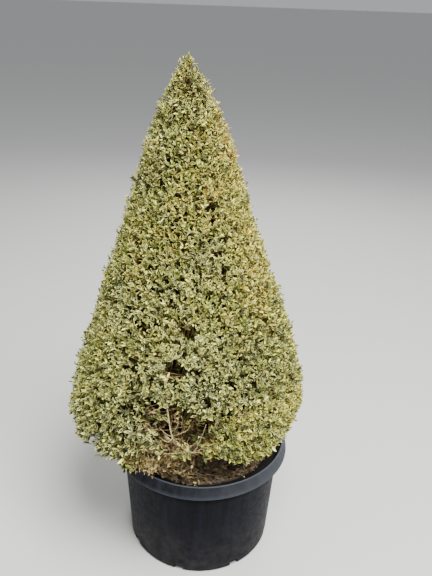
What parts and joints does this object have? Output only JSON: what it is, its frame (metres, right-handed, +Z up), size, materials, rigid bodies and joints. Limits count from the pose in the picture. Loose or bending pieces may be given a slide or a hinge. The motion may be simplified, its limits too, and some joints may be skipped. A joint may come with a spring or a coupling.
{
  "type": "boxwood cone topiary in a nursery planter",
  "caption": "Variegated boxwood clipped to a tall round-based cone, on a short stem in a round tapered plastic planter with a flared rim band.",
  "frame": {"origin": "middle of the planter's flat underside, on the ground", "axes": "+Z up along the planter's axis; -Y is the front, the side with the thin patch low in the foliage; +X is to the right seen from the front"},
  "size_m": [0.578, 0.572, 1.2579],
  "materials": {
    "pot": "charcoal moulded plastic with a soft blue-grey sheen, dusty towards its foot",
    "soil": "damp reddish-brown bark potting mix with chips",
    "bark": "finely fissured tan-grey boxwood bark",
    "leaf": "small leathery leaves, grey-green with cream to pale yellow margins",
    "dry_twig": "bare tan twigs with a few dry straw-coloured leaves"
  },
  "bodies": {
    "root": {"pot": "pot", "soil": "soil", "trunk": "bark", "bough_1": "bark", "bough_2": "bark", "bough_3": "bark", "bough_4": "bark", "bough_5": "bark", "bough_6": "bark", "bough_front": "bark", "bough_left_low": "bark", "bough_front_low": "bark", "foliage_cone": "leaf", "foliage_left_low": "leaf", "twigs_front_low": "dry_twig"}
  },
  "joints": []
}
